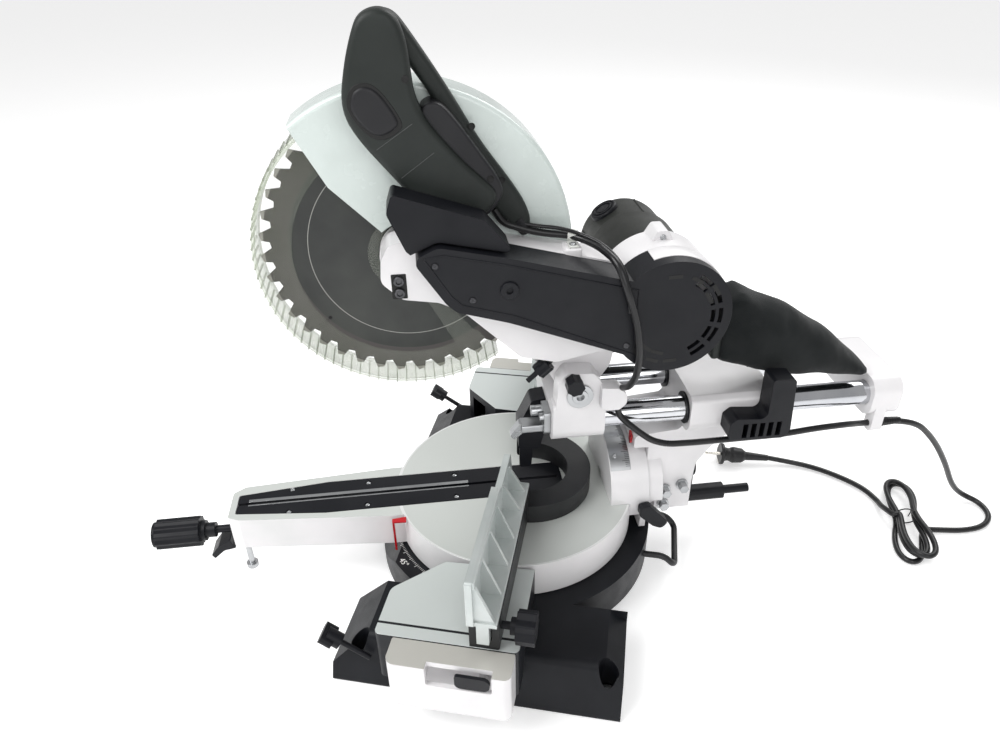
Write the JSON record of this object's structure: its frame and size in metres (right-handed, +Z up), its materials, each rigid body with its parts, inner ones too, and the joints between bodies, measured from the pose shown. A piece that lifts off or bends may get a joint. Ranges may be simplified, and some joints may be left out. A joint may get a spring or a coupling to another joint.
{
  "type": "sliding compound mitre saw",
  "caption": "Sliding compound mitre saw: turning table with a cutting arm, two-part fence, side extensions, tilting slide rails, hinged head with guarded blade, belt drive and dust bag.",
  "frame": {"origin": "on the bench, straight under the pivot of the turning table", "axes": "+Z up; +X to the right of the person standing at the handle; +Y from that person towards the rear"},
  "size_m": [0.665, 1.0973, 0.674],
  "materials": {
    "black_plastic": "moulded, fine grain",
    "white_paint": "satin paint on a casting",
    "machined_silver": "machined and lightly brushed",
    "zinc_steel": "plated",
    "dark_steel": "oiled",
    "chrome_tube": "polished",
    "red_marker": "gloss",
    "clear_guard": "clear, slightly green",
    "charcoal_plastic": "moulded",
    "grip_rubber": "soft touch",
    "cord_rubber": "smooth",
    "bag_cloth": "woven",
    "blade_steel": "ground, darkened",
    "black_paint": "satin black"
  },
  "bodies": {
    "base": {"base_casting": "black_plastic", "rear_support_wire": "zinc_steel", "lower_fence": "black_paint"},
    "fence_right": {"sliding_fence_right": "black_paint"},
    "fence_left": {"sliding_fence_left": "black_paint"},
    "fence_clamp_right": {"fence_knob_right": "black_plastic"},
    "fence_clamp_left": {"fence_knob_left": "black_plastic"},
    "extension_body_right": {"extension_right": "white_paint"},
    "extension_body_left": {"extension_left": "white_paint"},
    "stop_right": {"flip_stop_right": "black_plastic"},
    "stop_left": {"flip_stop_left": "black_plastic"},
    "extension_clamp_right": {"extension_knob_right": "black_plastic"},
    "extension_clamp_left": {"extension_knob_left": "black_plastic"},
    "table": {"turntable": "machined_silver", "kerf_boards": "black_plastic", "mitre_pointer": "red_marker", "pivot_bolt": "zinc_steel", "bevel_trunnion": "white_paint", "arm_foot": "zinc_steel"},
    "mitre_handle": {"mitre_grip": "black_plastic"},
    "detent": {"detent_lever": "black_plastic"},
    "bevel_stop": {"bevel_stop_lever": "black_plastic"},
    "tilt_arm": {"bevel_arm": "white_paint", "bevel_pointer": "red_marker", "bevel_stop_bolts": "zinc_steel", "cord_hook": "black_plastic"},
    "bevel_lock": {"bevel_lock_handle": "black_plastic"},
    "slide_lock": {"slide_lock_knob": "black_plastic"},
    "carriage": {"slide_rails": "chrome_tube", "rail_bracket": "white_paint", "rail_end_cap": "white_paint", "hinge_shaft": "zinc_steel", "return_spring": "dark_steel", "dust_chute": "cord_rubber", "frame_cable": "cord_rubber", "cord_run": "cord_rubber", "cord_bundle": "cord_rubber", "cord_lead": "cord_rubber", "power_plug": "cord_rubber"},
    "hold_down": {"hold_down_pin": "black_plastic"},
    "depth_lever": {"depth_stop": "zinc_steel"},
    "head": {"head_casting": "white_paint", "upper_guard": "white_paint", "belt_cover": "black_plastic", "handle_bracket": "white_paint", "handle_outer": "grip_rubber", "handle_inner": "grip_rubber", "drive_belt": "cord_rubber", "motor_housing": "charcoal_plastic", "dust_port": "black_plastic", "dust_bag": "bag_cloth", "head_cable": "cord_rubber"},
    "depth_screw": {"depth_knob": "black_plastic"},
    "trigger_paddle": {"trigger": "black_plastic"},
    "lock_off": {"lock_button": "black_plastic"},
    "guard": {"lower_guard": "clear_guard"},
    "blade_set": {"blade": "blade_steel", "arbor": "dark_steel"},
    "idler": {"gear_shaft": "dark_steel"},
    "armature": {"motor_armature": "dark_steel"}
  },
  "joints": [
    {"name": "fence_slide_right", "type": "slide", "parent": "base", "child": "fence_right", "axis": [1, 0, 0], "range_m": [-0.005, 0.09]},
    {"name": "fence_slide_left", "type": "slide", "parent": "base", "child": "fence_left", "axis": [1, 0, 0], "range_m": [-0.005, 0.096]},
    {"name": "fence_knob_turn_right", "type": "hinge", "parent": "base", "child": "fence_clamp_right", "pos_m": [0.25, 0.03, 0.133], "axis": [0, 1, 0], "continuous": true},
    {"name": "fence_knob_turn_left", "type": "hinge", "parent": "base", "child": "fence_clamp_left", "pos_m": [-0.25, 0.03, 0.133], "axis": [0, 1, 0], "continuous": true},
    {"name": "extension_slide_right", "type": "slide", "parent": "base", "child": "extension_body_right", "axis": [1, 0, 0], "range_m": [0, 0.08]},
    {"name": "extension_slide_left", "type": "slide", "parent": "base", "child": "extension_body_left", "axis": [-1, 0, 0], "range_m": [0, 0.08]},
    {"name": "flip_stop_turn_right", "type": "hinge", "parent": "extension_body_right", "child": "stop_right", "pos_m": [0.2946, 0.015, 0.095], "axis": [1, 0, 0], "range_deg": [-90, 0]},
    {"name": "flip_stop_turn_left", "type": "hinge", "parent": "extension_body_left", "child": "stop_left", "pos_m": [-0.2946, 0.015, 0.095], "axis": [1, 0, 0], "range_deg": [-90, 0]},
    {"name": "extension_knob_turn_right", "type": "hinge", "parent": "base", "child": "extension_clamp_right", "pos_m": [0.243, -0.133, 0.0455], "axis": [0, -0.8412, 0.5408], "continuous": true},
    {"name": "extension_knob_turn_left", "type": "hinge", "parent": "base", "child": "extension_clamp_left", "pos_m": [-0.243, -0.133, 0.0455], "axis": [0, -0.8412, 0.5408], "continuous": true},
    {"name": "mitre_swing", "type": "hinge", "parent": "base", "child": "table", "pos_m": [0, 0, 0], "axis": [0, 0, 1], "range_deg": [-62, 27.8]},
    {"name": "mitre_handle_turn", "type": "hinge", "parent": "table", "child": "mitre_handle", "pos_m": [0.13578, -0.44055, 0.072], "axis": [-0.2945, 0.9556, 0], "continuous": true},
    {"name": "detent_squeeze", "type": "hinge", "parent": "table", "child": "detent", "pos_m": [0.10721, -0.34785, 0.058], "axis": [0.9556, 0.2945, 0], "range_deg": [0, 15], "stiffness_Nm_per_rad": 0.4, "springref_deg": -20.05},
    {"name": "bevel_stop_press", "type": "hinge", "parent": "table", "child": "bevel_stop", "pos_m": [0.02345, 0.16837, 0.104], "axis": [0.9556, 0.2945, 0], "range_deg": [0, 30], "stiffness_Nm_per_rad": 0.2, "springref_deg": -20.05},
    {"name": "bevel_tilt", "type": "hinge", "parent": "table", "child": "tilt_arm", "pos_m": [-0.05007, 0.16246, 0.1089], "axis": [-0.2945, 0.9556, 0], "range_deg": [-45, 0]},
    {"name": "bevel_lock_turn", "type": "hinge", "parent": "tilt_arm", "child": "bevel_lock", "pos_m": [-0.06774, 0.2198, 0.1089], "axis": [-0.2945, 0.9556, 0], "range_deg": [-35, 35]},
    {"name": "slide_lock_turn", "type": "hinge", "parent": "tilt_arm", "child": "slide_lock", "pos_m": [-0.13523, 0.20109, 0.216], "axis": [0.9556, 0.2945, 0], "continuous": true},
    {"name": "carriage_slide", "type": "slide", "parent": "tilt_arm", "child": "carriage", "axis": [-0.2945, 0.9556, 0], "range_m": [-0.095, 0.07]},
    {"name": "hold_down_pull", "type": "slide", "parent": "carriage", "child": "hold_down", "axis": [0.9556, 0.2945, 0], "range_m": [0, 0.008]},
    {"name": "depth_stop_swing", "type": "hinge", "parent": "carriage", "child": "depth_lever", "pos_m": [0.03233, 0.0445, 0.238], "axis": [-0.2945, 0.9556, 0], "range_deg": [-30, 0]},
    {"name": "head_chop", "type": "hinge", "parent": "carriage", "child": "head", "pos_m": [-0.01968, 0.06384, 0.2759], "axis": [0.9556, 0.2945, 0], "range_deg": [0, 48.4], "stiffness_Nm_per_rad": 20, "springref_deg": -51.57},
    {"name": "depth_knob_turn", "type": "hinge", "parent": "head", "child": "depth_screw", "pos_m": [0.0388, 0.03707, 0.306], "axis": [-0.2127, 0.69, 0.6919], "continuous": true},
    {"name": "trigger_squeeze", "type": "slide", "parent": "head", "child": "trigger_paddle", "axis": [0.2798, -0.9079, 0.3122], "range_m": [0, 0.004], "stiffness_N_per_m": 800, "springref_m": -0.003},
    {"name": "lock_off_press", "type": "slide", "parent": "head", "child": "lock_off", "axis": [-0.2474, 0.8027, 0.5426], "range_m": [0, 0.003], "stiffness_N_per_m": 800, "springref_m": -0.003},
    {"name": "guard_retract", "type": "hinge", "parent": "head", "child": "guard", "pos_m": [0.03243, -0.10522, 0.4417], "axis": [0.9556, 0.2945, 0], "range_deg": [0, 123.42]},
    {"name": "blade_spin", "type": "hinge", "parent": "head", "child": "blade_set", "pos_m": [0.03243, -0.10522, 0.4417], "axis": [0.9556, 0.2945, 0], "continuous": true},
    {"name": "gear_spin", "type": "hinge", "parent": "head", "child": "idler", "pos_m": [0.07796, -0.04922, 0.446], "axis": [0.9556, 0.2945, 0], "continuous": true},
    {"name": "armature_spin", "type": "hinge", "parent": "head", "child": "armature", "pos_m": [-0.04418, 0.14335, 0.388], "axis": [0.9556, 0.2945, 0], "continuous": true}
  ],
  "couplings": [
    {"joint": "guard_retract", "follows": "head_chop", "ratio": 2.55},
    {"joint": "gear_spin", "follows": "blade_spin", "ratio": -1.439},
    {"joint": "armature_spin", "follows": "blade_spin", "ratio": -2.0786}
  ]
}
